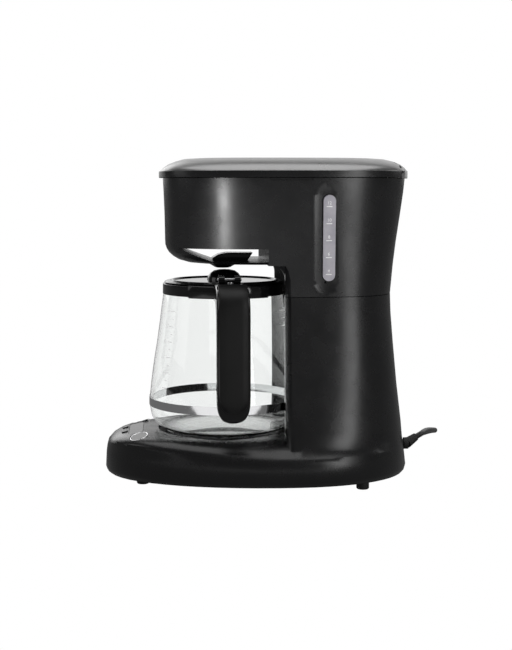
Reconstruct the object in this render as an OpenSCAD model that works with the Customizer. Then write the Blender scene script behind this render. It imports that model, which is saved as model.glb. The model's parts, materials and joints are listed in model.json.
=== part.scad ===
// Drip coffee maker with a glass carafe, a warming plate and a hinged lid over tank and basket.
// Front faces -Y, +Z is up, and the carafe handle points to +X.
// The origin is on the table, under the middle of the machine with its handle.

/* [Overall] */
// Height of the flat top of the lid
total_h = 334; // [330:1:338]
// Width of the base at its widest
base_w = 196; // [192:1:200]
// Width of the lid
lid_w = 156; // [152:1:158]

/* [Carafe] */
// Radius of the glass at its widest
glass_r = 78.8; // [77:0.1:79]
// Thickness of the glass wall
glass_t = 2.4; // [2:0.1:3]
// Height of the underside of the carafe over the table
carafe_z = 51.5; // [51.4:0.1:51.6]
// Angle of the handle from the +X direction
handle_turn = 2; // [0:1:4]

/* [Housing] */
// Wall thickness of the moulded shells
wall = 3; // [2.5:0.1:3.5]
// Height of the seam between lower and upper housing
seam_z = 195; // [194:1:196]

/* [Cord] */
// Diameter of the power cord
cord_d = 6; // [5.5:0.1:6.5]

/* [Hidden] */
$fn = 64;

// The base centre line in the row frame
mid_x = -10;
mid_y = -1;

base_hw = base_w / 2;
lid_hw = lid_w / 2;
base_front = -158;
base_back = 160;
head_front = -95.5;
carafe_y = -32;
crease_z = 37;
deck_z = 53;
bottom_z = 7.5;
rim_z = 314;
rim_h = 6.5;
slot_z = 243;
floor_z = 226.5;
bay_r = 82;
column_y = 26;
basket_y = -30;
hinge_y = 146;
hinge_z = 325;
hinge_r = 6;
lug_x = 27;
valve_z = 221.2;
ring_r = 69.5;
plate_r = 61;
screw_spots = [[-60, 60], [60, 60], [-38, -100], [38, -100]];
foot_spots = [[-31, -118], [31, -118], [-70, 105], [70, 105]];
feet_r = 6.5;
window_lean = 2.6;
gap_back = 9;
arch_r = 14;
edge_r = 12;
edge_lap = 0.6;
hollow_set_back = 8;
corner_extra = 0.25;
seat_z = 48;
ledge_z = 45;
leg_x = 25.7;
leg_z = 36.5;
riser_x = -30;
riser_back = 57;
riser_front = 40.2;
tank_step = 240;
lid_pin_x = 66;
lid_pin_z = 161.6;

// Buttons lie on the slope of the deck, the big ones also turned outwards
lens_tilt = 10;
lens_y = -125.2;
lens_z = 52;
button_tilt = 15;
button_turn = 12;
button_x = 42;
button_y = -121.5;
button_z = 51.2;
button_r = 8.2;
small_tilt = 14.5;
small_x = 12;
small_y = -137;
small_z = 50.6;
small_r = 3.2;

// Gland in the back wall, and the way its tapered tail points
gland_at = [0, 161, 31.8];
gland_foot = [0, 2.4, 0];
gland_tail = [-7, 10.8, 5.1];

// Route of the loose cord, from the gland to the coil, in the row frame
cord_exit = gland_at + gland_foot + gland_tail + [mid_x, mid_y, 0];
cord_points = [cord_exit, [-24.5, 181, 39], [-42, 188.6, 38.2], [-66, 198, 34.5], [-94, 208, 29], [-116, 215.5, 24.5],
    [-130, 218.6, 21.5], [-142, 216, 18.5], [-149.5, 207.5, 14], [-152, 197, 8], [-150.3, 188.5, 4.4],
    [-146, 181, 3.2], [-138, 169.5, 3.1], [-128.6, 156.1, 3.1]];
coil_at = [-160, 138];
coil_mid_r = 33;
coil_h = 12.6;
coil_half_w = 6.4;
plug_at = [-123.8, 84, 9.3];

// ---------------------------------------------------------------- helpers

module placed() translate([mid_x, mid_y, 0]) children();

// Point of an egg-shaped outline: half width hw at y = mid, tips at front and back, exponents nf and nb
function power_of(v, e) = sign(v) * pow(abs(v), e);
function egg(a, hw, mid, front, back, nf, nb) =
    let(c = cos(a), s = sin(a), n = s < 0 ? nf : nb, reach = s < 0 ? mid - front : back - mid)
    [hw * power_of(c, 2 / n), mid + reach * power_of(s, 2 / n)];
function egg_ring(l, sides) =
    [for (i = [0:sides - 1]) let(p = egg(360 * (i + 0.5) / sides, l[1], l[4], l[2], l[3], l[5], l[6])) [p[0], p[1], l[0]]];

// Smooth body through a stack of outlines, each [z, half width, front, back, widest y, front n, back n]
module egg_loft(levels, sides = 56) skin([for (l = levels) egg_ring(l, sides)]);

// Closed body over flat rings of the same number of points, from the lowest to the highest
module skin(rings) {
    count = len(rings);
    sides = len(rings[0]);
    points = [for (r = rings) each r];
    sides_faces = [for (k = [0:count - 2]) for (i = [0:sides - 1])
        let(a = k * sides + i, b = k * sides + (i + 1) % sides, c = a + sides, d = b + sides)
        each [[a, c, b], [b, c, d]]];
    low = [for (i = [0:sides - 1]) i];
    high = [for (i = [sides - 1:-1:0]) (count - 1) * sides + i];
    polyhedron(points, concat(sides_faces, [low], [high]));
}

function grown(levels, t, z0, z1) =
    [for (l = levels) [l[0] <= levels[0][0] ? z0 : (l[0] >= levels[len(levels) - 1][0] ? z1 : l[0]),
        l[1] + t, l[2] - t, l[3] + t, l[4], l[5], l[6]]];

module tube(r, inner, h) difference() {
    cylinder(r = r, h = h);
    translate([0, 0, -1]) cylinder(r = inner, h = h + 2);
}

module rounded_slab(x, y, h, r) {
    translate([-x / 2 + r, -y / 2, 0]) cube([x - 2 * r, y, h]);
    translate([-x / 2, -y / 2 + r, 0]) cube([x, y - 2 * r, h]);
    for (sx = [-1, 1], sy = [-1, 1]) translate([sx * (x / 2 - r), sy * (y / 2 - r), 0]) cylinder(r = r, h = h);
}

// Bent tube: straight lengths of cylinder between points, with ball corners
module bent_tube(points, r) {
    for (i = [0:len(points) - 2]) {
        along = points[i + 1] - points[i];
        far = norm(along);
        translate(points[i]) rotate([0, acos(along[2] / far), atan2(along[1], along[0])])
            cylinder(r = r, h = far, $fn = 24);
    }
    for (i = [1:len(points) - 2]) translate(points[i]) sphere(r = r + corner_extra, $fn = 24);
}

module lens_seat() translate([0, lens_y, lens_z]) rotate([lens_tilt, 0, 0]) children();
module button_seat(s) translate([s * button_x, button_y, button_z])
    rotate([button_tilt, s * button_turn, 0]) children();
module small_seat(s) translate([s * small_x, small_y, small_z]) rotate([small_tilt, 0, 0]) children();

// ---------------------------------------------------------------- outlines of the body

base_levels = [[bottom_z, base_hw - 3.5, base_front + 5, base_back - 3, 30, 2.1, 2.2],
    [10, base_hw - 1, base_front + 2, base_back - 1, 30, 2.1, 2.2],
    [14, base_hw, base_front + 0.6, base_back, 30, 2.1, 2.2],
    [30, base_hw - 1, base_front + 1.4, base_back - 2, 30, 2.1, 2.25],
    [crease_z, base_hw - 3, base_front + 2.4, base_back - 3, 30, 2.15, 2.3],
    [41, base_hw - 7, base_front + 3.6, base_back - 12, 30, 2.35, 2.3],
    [45, base_hw - 11.5, base_front + 7.5, base_back - 20, 28, 2.65, 2.3],
    [48, base_hw - 16.5, base_front + 13, base_back - 28, 26, 2.9, 2.3],
    [50.5, base_hw - 23, base_front + 21, base_back - 36, 24, 3.2, 2.3],
    [52.2, base_hw - 30, base_front + 30, base_back - 50, 22, 3.4, 2.3],
    [deck_z, base_hw - 38, base_front + 39, base_back - 60, 20, 3.4, 2.3]];

column_levels = [[20, base_hw - 0.6, -140, base_back - 1.1, 30, 2, 2.2],
    [crease_z, base_hw - 3, -130, base_back - 3, 30, 2, 2.3],
    [44, base_hw - 7.6, -126, base_back - 4.2, 34, 2.1, 2.3],
    [60, base_hw - 12.5, -120, base_back - 5.8, 42, 2.4, 2.4],
    [100, base_hw - 18.5, -110, base_back - 11, 50, 2.5, 2.5],
    [145, base_hw - 23, -100, base_back - 15.6, 52, 2.5, 2.6],
    [175, base_hw - 25.2, -96, base_back - 18.2, 54, 2.5, 2.6],
    [seam_z, base_hw - 26, -94, base_back - 19, 54, 2.5, 2.6]];

head_levels = [[seam_z + 0.6, base_hw - 26, -92, base_back - 19, 54, 2.5, 2.6],
    [floor_z, base_hw - 25.4, -93, 143.8, 48, 2.5, 2.6],
    [249, base_hw - 24.6, -93.6, 146.6, 40, 2.5, 2.6],
    [278, base_hw - 22.6, -94, 150.8, 34, 2.5, 2.6],
    [300, base_hw - 21, -94.8, 153.8, 30, 2.5, 2.6],
    [rim_z - 0.6, base_hw - 20.2, head_front, 155.2, 28, 2.5, 2.6]];

scoop_levels = [[floor_z, 50, -58, 60, 20, 2.3, 2.6],
    [227.6, 58, -70, 60, 24, 2.3, 2.6],
    [230.4, 64.5, -79.5, 60, 30, 2.4, 2.6],
    [233.9, 68.6, -85.4, 60, 34, 2.4, 2.6],
    [237.9, 71.4, -89.6, 60, 38, 2.5, 2.6],
    [241.6, 72.8, -91.9, 60, 40, 2.5, 2.6],
    [246, 73.3, -93.4, 60, 40, 2.5, 2.6],
    [250, 73.3, -93.55, 60, 40, 2.5, 2.6]];

lid_levels = [[rim_z, lid_hw + 3, -99.5, 158.6, 28, 2.5, 2.6],
    [rim_z + rim_h, lid_hw + 3, -99.5, 158.6, 28, 2.5, 2.6]];

cover_levels = [[rim_z + rim_h, lid_hw + 2.2, -98.6, 157.8, 28, 2.5, 2.6],
    [324, lid_hw - 1, -95.2, 155, 28, 2.5, 2.6],
    [327.6, lid_hw - 7, -90, 150.6, 28, 2.5, 2.6],
    [330.8, lid_hw - 15, -82, 143, 28, 2.5, 2.6],
    [total_h - 1, lid_hw - 24, -74, 134, 28, 2.5, 2.6],
    [total_h, lid_hw - 38, -58, 120, 28, 2.5, 2.6]];

// Tool that rounds the upright front edges of the column; each row is an outline and a radius
function side_x(l, y) =
    let(front = y < l[4], n = front ? l[5] : l[6], reach = front ? l[4] - l[2] : l[3] - l[4])
    l[1] * pow(1 - pow(abs(y - l[4]) / reach, n), 1 / n);
function edge_ring(l, r) =
    let(cx = side_x(l, column_y + r) - r + edge_lap, cy = column_y + r - edge_lap)
    concat([[cx, column_y - 16, l[0]], [cx + r + 8, column_y - 16, l[0]], [cx + r + 8, cy, l[0]]],
        [for (a = [0:-10:-90]) [cx + r * cos(a), cy + r * sin(a), l[0]]]);
module edge_tool(rows) skin([for (row = rows) edge_ring(row[0], row[1])]);
module both_sides() for (s = [0, 1]) mirror([s, 0, 0]) children();

function between(a, b, z) = a + (b - a) * (z - a[0]) / (b[0] - a[0]);
column_top = column_levels[len(column_levels) - 1];
column_edge = concat([[between(column_levels[0], column_levels[1], 33), edge_r]],
    [for (i = [1:len(column_levels) - 2]) [column_levels[i], edge_r]],
    [[column_top + [1, 0, 0, 0, 0, 0, 0], edge_r]]);
head_edge = [for (row = [[seam_z - 0.4, edge_r], [212, 11], [222, 6], [floor_z - 0.1, 2]])
    [between(head_levels[0], head_levels[1], row[0]), row[1]]];

// Everything in front of the column and under the brew head
module bay_space(low, high) {
    translate([-150, -300, low]) cube([300, 300 + column_y, high - low]);
    translate([0, carafe_y, low]) cylinder(r = bay_r, h = high - low, $fn = 128);
}

// ---------------------------------------------------------------- lower body

module base_housing() color([0.09, 0.09, 0.095]) placed() difference() {
    union() {
        egg_loft(base_levels);
        difference() {
            egg_loft(column_levels);
            bay_space(crease_z + 6, seam_z + 10);
            translate([-150, -300, 0]) cube([300, 300 + column_y, seam_z + 10]);
            both_sides() edge_tool(column_edge);
        }
    }
    // hollow of the base and of the column
    difference() {
        egg_loft([for (l = base_levels) [l[0] <= bottom_z ? bottom_z - 1 : l[0] - wall,
            l[1] - wall, l[2] + wall, l[3] - wall, l[4], l[5], l[6]]]);
        translate([0, carafe_y, ledge_z]) cylinder(r = ring_r + 3.5, h = 20, $fn = 128);
    }
    difference() {
        egg_loft(grown(column_levels, -wall, 20, seam_z + 1));
        bay_space(43, 200);
        translate([-150, -300, 0]) cube([300, 300 + column_y + hollow_set_back, 300]);
        translate([0, carafe_y, 30]) cylinder(r = bay_r + wall, h = 200, $fn = 128);
    }
    // seat and opening of the warming plate
    translate([0, carafe_y, seat_z]) cylinder(r = ring_r + 0.5, h = 20, $fn = 128);
    translate([0, carafe_y, 30]) cylinder(r = ring_r - 6, h = 30, $fn = 128);
    // window for the clock and holes for the buttons
    lens_seat() translate([0, 0, -15]) rounded_slab(56, 15.2, 30, 4);
    for (s = [-1, 1]) {
        button_seat(s) translate([0, 0, -12]) cylinder(r = button_r + 1.5, h = 30);
        small_seat(s) translate([0, 0, -12]) cylinder(r = small_r + 0.3, h = 30);
    }
    // way out of the cord
    translate([0, base_back - 20, 31.8]) rotate([-90, 0, 0]) cylinder(r = 4.2, h = 40);
}

module bottom_cover() color([0.07, 0.07, 0.075]) placed() difference() {
    egg_loft([[bottom_z + 0.2, base_hw - 7, base_front + 9, base_back - 7, 30, 2, 2.2],
        [bottom_z + 2.6, base_hw - 6.4, base_front + 8.2, base_back - 6.4, 30, 2, 2.2]]);
    for (p = screw_spots) translate([p[0], p[1], 0]) cylinder(r = 1.9, h = 20);
    for (p = foot_spots) translate([p[0], p[1], 0]) cylinder(r = 2.6, h = 20);
    for (i = [-4:4]) translate([i * 9 - 1.5, 90, 0]) cube([3, 30, 20]);
}

module rubber_feet() color([0.05, 0.05, 0.05]) placed() for (p = foot_spots) translate([p[0], p[1], 0]) {
    cylinder(r1 = feet_r - 0.8, r2 = feet_r, h = 1);
    translate([0, 0, 1]) cylinder(r = feet_r, h = bottom_z - 0.9);
    translate([0, 0, 7]) cylinder(r = 2.5, h = 5);
}

module cover_screws() color([0.75, 0.75, 0.76]) placed() for (p = screw_spots) translate([p[0], p[1], 0]) {
    difference() {
        translate([0, 0, bottom_z - 1.4]) cylinder(r = 3.4, h = 1.5);
        translate([-2.4, -0.4, bottom_z - 2]) cube([4.8, 0.8, 1.4]);
    }
    translate([0, 0, bottom_z]) cylinder(r = 1.8, h = 14);
}

// ---------------------------------------------------------------- upper body

// Gap right through the brew head, over its floor and under the basket
module outlet_gap() translate([-130, 0, 0]) rotate([90, 0, 90]) linear_extrude(260)
    polygon([[-80.5, slot_z], [-76, 241.4], [-70, 238.8], [-62, 235.6], [-54, 232.6], [-48, 230.6],
        [-45, floor_z + wall], [gap_back, floor_z + wall], [gap_back, slot_z]]);

module upper_housing() color([0.09, 0.09, 0.095]) placed() difference() {
    union() {
        intersection() {
            egg_loft(head_levels);
            union() {
                translate([-150, -200, 250]) cube([300, 500, 100]);
                translate([-150, 9, 100]) cube([300, 400, 300]);
            }
        }
        egg_loft(scoop_levels);
    }
    // hollow above the floor
    egg_loft(grown([for (i = [2:5]) head_levels[i]], -wall, slot_z + 4, 330));
    translate([-58, gap_back + wall, floor_z + wall]) cube([116, 30, slot_z - floor_z - wall]);
    translate([0, basket_y, slot_z - 1]) cylinder(r = 21, h = 10);
    // hollow of the column
    intersection() {
        egg_loft(grown([for (i = [0:2]) head_levels[i]], -wall, seam_z - 2, 262));
        difference() {
            translate([-150, column_y + hollow_set_back, seam_z - 5]) cube([300, 200, 80]);
            translate([0, carafe_y, seam_z - 6]) cylinder(r = bay_r + wall, h = floor_z + wall - seam_z + 6, $fn = 128);
        }
    }
    bay_space_under_head();
    outlet_gap();
    both_sides() edge_tool(head_edge);
    // drip valve opening
    translate([0, carafe_y - 1.5, floor_z - 5]) cylinder(r = 10, h = 20);
    // window slot and its scooped surround
    window_place() rounded_window(12.8, 86, 30, -20);
    window_place() translate([0, 0, 57.4]) scoop_tool();
    // finger notches under the lid
    for (s = [-1, 1]) translate([s * 83.2, 31, rim_z + 6])
        cube([14, 42, 18], center = true);
}

module bay_space_under_head() {
    difference() {
        translate([-150, -300, seam_z - 20]) cube([300, 300 + column_y, floor_z - seam_z + 20]);
        difference() {
            translate([-151, column_y - arch_r, floor_z - arch_r]) cube([302, arch_r + 1, arch_r + 1]);
            translate([-152, column_y - arch_r, floor_z - arch_r]) rotate([0, 90, 0]) cylinder(r = arch_r, h = 304);
        }
    }
    translate([0, carafe_y, seam_z - 20]) cylinder(r = bay_r, h = floor_z - seam_z + 20, $fn = 128);
}

// Frame of the level window: its own +Z points out of the wall, its +Y along the window
module window_place() translate([73.4, 69, 254]) rotate([0, 90 + window_lean, 0]) rotate([0, 0, 90]) children();

module rounded_window(w, long, h, low) translate([0, 0, low]) {
    translate([-w / 2, -long / 2 + w / 2, 0]) cube([w, long - w, h]);
    for (s = [-1, 1]) translate([0, s * (long / 2 - w / 2), 0]) cylinder(r = w / 2, h = h);
}

module scoop_tool() {
    rotate([90, 0, 0]) cylinder(r = 60, h = 84, center = true, $fn = 128);
    for (s = [-1, 1]) translate([0, s * 42, 0]) sphere(r = 60, $fn = 96);
}

module level_window() color([0.72, 0.74, 0.76, 0.8]) placed() window_place() difference() {
    rounded_window(12.2, 85.4, 5.5, -5.4);
    rounded_window(8.2, 81, 4, -5.5);
}

// ---------------------------------------------------------------- water and heat

tank_y = 88;

module water_tank() color([0.5, 0.5, 0.52, 0.6]) placed() difference() {
    union() {
        translate([0, tank_y + 4, 110]) rounded_slab(110, 54, tank_step - 109, 18);
        translate([0, tank_y - 6, tank_step]) rounded_slab(118, 74, 302 - tank_step, 20);
        translate([56, 69, 254]) rotate([0, 90, 0]) cylinder(r = 4, h = 10);
    }
    translate([0, tank_y + 4, 112.4]) rounded_slab(105, 49, tank_step - 108, 15.5);
    translate([0, tank_y - 6, tank_step + 2.5]) rounded_slab(113, 69, 100, 17.5);
    translate([40, 69, 254]) rotate([0, 90, 0]) cylinder(r = 2, h = 30);
    translate([0, tank_y + 4, 100]) cylinder(r = 4.1, h = 20);
}

module tank_outlet() color([0.85, 0.85, 0.83]) placed() translate([0, tank_y + 4, 94]) {
    tube(4, 2.6, 20);
    translate([0, 0, 13]) tube(8, 4, 2.9);
}

module warming_plate() color([0.06, 0.06, 0.065]) placed() translate([0, carafe_y, 0]) {
    translate([0, 0, 49.6]) cylinder(r = plate_r, h = 1.4, $fn = 96);
    translate([0, 0, 45]) tube(52, 50.6, 4.7);
    translate([0, 0, 36]) cylinder(r = 2, h = 13.7);
}

module plate_ring() color([0.05, 0.05, 0.05]) placed() translate([0, carafe_y, 0]) rotate_extrude($fn = 128)
    polygon([[plate_r + 0.2, 48.1], [ring_r, 48.1], [ring_r, 50.6], [ring_r - 1, 51], [plate_r + 3, 51],
        [plate_r + 0.2, 50.4]]);

module heating_element() color([0.78, 0.78, 0.78]) placed() {
    translate([0, carafe_y, ledge_z]) rotate([0, 0, 130]) rotate_extrude(angle = 280, $fn = 96)
        translate([40, 0]) circle(r = 4.4, $fn = 32);
    for (s = [-1, 1]) {
        bent_tube([[s * leg_x, carafe_y + 30.6, ledge_z], [s * leg_x, 8, leg_z], [s * leg_x, 18, leg_z]], 4.1);
        translate([s * leg_x, carafe_y + 30.6, ledge_z]) sphere(r = 4.6, $fn = 32);
    }
}

module element_clamp() color([0.7, 0.7, 0.72]) placed() translate([0, carafe_y, 0]) difference() {
    translate([-46, -7, 39.2]) cube([92, 14, 1.2]);
    cylinder(r = 2.1, h = 60);
}

module thermostat() color([0.85, 0.85, 0.86]) placed() translate([0, carafe_y - 20, 0]) {
    translate([0, 0, 44.4]) cylinder(r = 9, h = 5);
    translate([0, 0, 41.9]) cylinder(r = 6, h = 3);
    for (s = [-1, 1]) translate([s * 3 - 0.4, -2, 35]) cube([0.8, 4, 7.2]);
}

module thermal_fuse() color([0.8, 0.78, 0.72]) placed() translate([0, carafe_y + 22, 47.2]) {
    rotate([0, 90, 0]) cylinder(r = 2.2, h = 16, center = true);
    rotate([0, 90, 0]) cylinder(r = 0.6, h = 42, center = true);
}

module cold_hose() color([0.82, 0.82, 0.8]) placed()
    bent_tube([[0, tank_y + 4, 94], [0, tank_y + 4, 62], [20, 80, 44], [leg_x, 54, leg_z], [leg_x, 40.8, leg_z]], 5.4);

module check_valve() color([0.86, 0.86, 0.84]) placed() translate([leg_x, 18.5, leg_z]) rotate([-90, 0, 0]) difference() {
    cylinder(r = 6, h = 22);
    translate([0, 0, 2]) cylinder(r = 4.4, h = 12);
    translate([0, 0, -5]) cylinder(r = 2, h = 40);
}

module check_ball() color([0.75, 0.75, 0.77]) placed() translate([leg_x, 28.7, leg_z]) sphere(r = 3, $fn = 48);

module hot_hose() color([0.82, 0.82, 0.8]) placed()
    bent_tube([[-leg_x, 18.6, leg_z], [-leg_x, 28, leg_z], [riser_x, 54, 36], [-33, 72, 54], [riser_x, 60, 86],
        [riser_x, riser_back, 112], [riser_x, riser_back, 204.9]], 5);

module riser_tube() color([0.8, 0.8, 0.78]) placed() difference() {
    union() {
        translate([riser_x, riser_back, 205]) cylinder(r = 5, h = 26);
        translate([riser_x - 4.6, riser_front - 4.6, 230.2]) cube([9.2, riser_back - riser_front + 9.8, 8.8]);
        translate([riser_x, riser_front, 234]) cylinder(r = 4.4, h = 71);
    }
    translate([riser_x, riser_front, 236]) cylinder(r = 3, h = 80);
}

// ---------------------------------------------------------------- brewing

module filter_basket() color([0.1, 0.1, 0.1]) placed() translate([0, basket_y, 0]) difference() {
    rotate_extrude($fn = 96) polygon([[0, 247], [22, 247], [54, 292], [54, 298], [60, 298], [60, 300], [51.6, 300],
        [51.6, 293], [20.6, 249.4], [0, 249.4]]);
    translate([0, 0, 240]) cylinder(r = 4, h = 20);
}

module mesh_filter() color([0.7, 0.62, 0.4]) placed() translate([0, basket_y, 0]) rotate_extrude($fn = 96)
    polygon([[0, 250.4], [19.6, 250.4], [50.6, 294], [50.6, 299], [49.8, 299], [49.8, 294.2], [19.2, 251.2],
        [0, 251.2]]);

module basket_handle() color([0.1, 0.1, 0.1]) placed() translate([0, basket_y, 301.6]) difference() {
    rotate_extrude(angle = 180, $fn = 96) translate([55, 0]) square([3.4, 3]);
    translate([-100, -3, -5]) cube([200, 3, 20]);
}

module valve_guard() color([0.08, 0.08, 0.08]) placed() difference() {
    translate([-14, 0, floor_z + 3.1]) rotate([90, 0, 90]) linear_extrude(28)
        polygon([[-44.5, 0], [-8, 0], [-3, 7.6], [-30, 7.6], [-38.5, 5.9], [-44.5, 2.4]]);
    translate([0, carafe_y - 1.5, floor_z]) cylinder(r = 5, h = 7.9);
    translate([0, carafe_y - 1.5, floor_z]) cylinder(r = 2, h = 30);
}

// Fixed cup of the drip stop, and the sprung plug in it
module drip_cup() color([0.08, 0.08, 0.08]) placed() translate([0, carafe_y - 1.5, 0]) rotate_extrude($fn = 64)
    polygon([[5.1, valve_z], [6.5, valve_z], [8.4, valve_z + 0.6], [14, floor_z - 1.4], [14.4, floor_z - 0.1],
        [9.7, floor_z - 0.1], [9.7, floor_z + 2.9], [3.3, floor_z + 2.9], [3.3, floor_z + 1.7],
        [8.2, floor_z + 1.7], [8.2, floor_z - 1.4], [5.4, valve_z + 1.6]]);

module drip_valve() color([0.08, 0.08, 0.08]) placed() translate([0, carafe_y - 1.5, 0])
    rotate_extrude($fn = 64) polygon([[0, valve_z], [4.4, valve_z], [4.9, valve_z + 1], [3, valve_z + 2.4],
        [3, 229.7], [4.6, 229.7], [4.6, 230.5], [0, 230.5]]);

module valve_spring() color([0.8, 0.8, 0.82]) placed() translate([0, carafe_y - 1.5, 230.6]) tube(4.4, 3.2, 3.7);

// ---------------------------------------------------------------- lid

module lid_split(gap) translate([-100, hinge_y + gap, 300]) cube([200, 60, 60]);
module hinge_barrel(r, w, c = 0) translate([-w / 2 + c, hinge_y, hinge_z]) rotate([0, 90, 0]) cylinder(r = r, h = w);

module lid_frame() color([0.07, 0.07, 0.075]) placed() difference() {
    union() {
        difference() {
            egg_loft(lid_levels);
            lid_split(-0.4);
            egg_loft(grown(lid_levels, -5, rim_z - 1, rim_z + rim_h - 2));
        }
    }
    translate([-26, hinge_y - 8, rim_z - 2]) cube([52, 20, 30]);
    translate([0, 0, -1]) hinge_barrel(5, 60);
}

module lid_cover() color([0.62, 0.63, 0.64]) placed() difference() {
    union() {
        difference() {
            egg_loft(cover_levels);
            lid_split(-0.4);
            egg_loft([for (l = cover_levels) [l[0] - 2.6, l[1] - 3, l[2] + 3, l[3] - 3, l[4], l[5], l[6]]]);
        }
        intersection() {
            hinge_barrel(hinge_r, 130);
            egg_loft(cover_levels);
        }
    }
    for (s = [-1, 1]) hinge_barrel(7, 8.8, s * lug_x);
    hinge_barrel(1.6, 130);
}

module hinge_cover() color([0.62, 0.63, 0.64]) placed() difference() {
    intersection() {
        union() {
            egg_loft(cover_levels);
            egg_loft([[rim_z - 0.6, lid_hw + 2.4, -98.9, 158, 28, 2.5, 2.6],
                [rim_z + rim_h, lid_hw + 2.4, -98.9, 158, 28, 2.5, 2.6]]);
        }
        union() {
            difference() {
                lid_split(0.2);
                hinge_barrel(hinge_r + 0.5, 130);
            }
            for (s = [-1, 1]) {
                hinge_barrel(4, 8, s * lug_x);
                translate([s * lug_x - 4, hinge_y + 0.4, hinge_z - 4]) cube([8, 8, 6]);
            }
        }
    }
    hinge_barrel(1.5, 130);
}

module hinge_pin() color([0.8, 0.8, 0.82]) placed() hinge_barrel(1.5, 60);

module spray_head() color([0.1, 0.1, 0.1]) placed() {
    translate([0, basket_y, 309]) cylinder(r = 30, h = 3);
    translate([riser_x, riser_front, 306.6]) tube(6, 3.4, 5.4);
    difference() {
        translate([-33, -30, 309.4]) cube([10, 68, 6]);
        translate([-31, -28, 311]) cube([6, 64, 10]);
    }
    translate([-24, -33, 309.4]) cube([24, 6, 6]);
    for (s = [-1, 1]) translate([s * 40 - 3, 0, 308]) cube([6, 90, 10.45]);
    translate([-43, -2, 309]) cube([86, 6, 4]);
}

// ---------------------------------------------------------------- controls

module panel_lens() color([0.02, 0.02, 0.02]) placed() lens_seat() translate([0, 0, -2.4])
    rounded_slab(55.4, 14.6, 2.4, 3.7);

module clock_display() color([0.15, 0.2, 0.2]) placed() lens_seat() translate([-18, -6, -5.6]) cube([36, 12, 3]);

module circuit_board() color([0.1, 0.35, 0.15]) placed() translate([-46, -126, 38.4]) cube([92, 18, 1.6]);

module button_rings() color([0.85, 0.85, 0.86]) placed() for (s = [-1, 1])
    button_seat(s) translate([0, 0, -5.6]) tube(button_r + 1.4, button_r + 0.1, 6);

module big_button() {
    translate([0, 0, -6]) cylinder(r = button_r - 0.2, h = 6.2);
    translate([0, 0, -7.4]) cylinder(r = 3, h = 2);
}

module brew_button() color([0.1, 0.1, 0.1]) placed() button_seat(1) big_button();
module program_button() color([0.1, 0.1, 0.1]) placed() button_seat(-1) big_button();

module small_button() translate([0, 0, -7]) cylinder(r = small_r, h = 7.8, $fn = 32);
module hour_button() color([0.12, 0.12, 0.12]) placed() small_seat(-1) small_button();
module minute_button() color([0.12, 0.12, 0.12]) placed() small_seat(1) small_button();

// ---------------------------------------------------------------- carafe

// Outer profile of the glass, height over the carafe's underside first
glass_outer = [[0, 52], [0.6, 58], [3, 65], [7.6, 71.6], [14.5, 76.4], [24, 78.4], [31, glass_r], [38, 78.3],
    [52, 76.8], [75, 73.6], [93, 70.6], [120, 66.8], [140, 64.1], [146, 62.6]];
glass_inner = [[146, 60.2], [140, 61.7], [120, 64.4], [93, 68.2], [75, 71.2], [52, 74.4], [38, 75.9],
    [31, glass_r - glass_t], [24, 76], [14.5, 74], [7.6, 69], [3.8, 62], [2.6, 56], [2.6, 0]];

module carafe_place() placed() translate([0, carafe_y, carafe_z]) rotate([0, 0, handle_turn]) children();

module carafe_glass() color([0.9, 0.95, 0.95, 0.3]) carafe_place() rotate_extrude($fn = 128)
    polygon(concat([[0, 0]], [for (p = glass_outer) [p[1], p[0]]], [for (p = glass_inner) [p[1], p[0]]]));

module carafe_band() color([0.8, 0.8, 0.82]) carafe_place() rotate_extrude($fn = 128)
    polygon([[glass_r + 0.02, 26.8], [glass_r + 0.5, 26.8], [glass_r + 0.5, 35.5], [glass_r + 0.02, 35.5]]);

module carafe_collar() color([0.07, 0.07, 0.07]) carafe_place() difference() {
    rotate_extrude($fn = 128) polygon([[63.6, 143], [64.3, 143], [64.1, 153.6], [60.6, 154.4], [59.4, 154.4],
        [59.4, 146.1], [62.9, 146.1]]);
    rotate([0, 0, -38]) rotate_extrude(angle = 76) translate([59, 100]) square([20, 80]);
}

// Side outline of the handle in its own X and Z
module carafe_handle() color([0.07, 0.07, 0.07]) carafe_place() {
    rotate([0, 0, -37.6]) rotate_extrude(angle = 75.2, $fn = 128)
        polygon([[63.6, 143], [64.8, 142], [66.4, 143], [66.4, 153.8], [65.4, 154.6], [59.4, 154.6], [59.4, 146.2],
            [62.9, 146.2]]);
    difference() {
        intersection() {
            translate([0, 15, 0]) rotate([90, 0, 0]) linear_extrude(30)
                polygon([[65.8, 143], [65.8, 157], [104, 158], [113, 154], [118, 142], [118, 44], [115, 32], [108, 24],
                    [103, 23], [99, 30], [100, 48], [100, 120], [96, 132], [86, 137], [65.8, 138]]);
            translate([50, 0, 38]) rotate([90, 0, 90]) linear_extrude(90)
                polygon(concat([for (a = [180:12:360]) [14.98 * cos(a), 14.98 * sin(a)]], [[14.98, 150], [-14.98, 150]]));
        }
        translate([74, 0, 100]) cylinder(r = 1.6, h = 70);
    }
    // lug between the knuckles of the lid
    difference() {
        union() {
            translate([lid_pin_x, 0, lid_pin_z]) rotate([90, 0, 0]) cylinder(r = 3.6, h = 9, center = true);
            translate([lid_pin_x, -4.5, 156]) cube([3.6, 9, 5.6]);
        }
        translate([lid_pin_x, 0, lid_pin_z]) rotate([90, 0, 0]) cylinder(r = 1.6, h = 40, center = true);
    }
    // inner rib behind the grip, with a tongue to the band
    translate([0, 3.5, 0]) rotate([90, 0, 0]) linear_extrude(7)
        polygon([[96, 128], [101, 128], [101, 38], [96, 36], [79.6, 27], [79.6, 34], [92, 42], [96, 52]]);
}

module handle_inlay() color([0.1, 0.1, 0.1]) carafe_place() translate([118.05, 0, 0]) {
    translate([0, -12, 46]) cube([1.2, 24, 94]);
    translate([0, 0, 46]) rotate([0, 90, 0]) cylinder(r = 12, h = 1.2);
}

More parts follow.
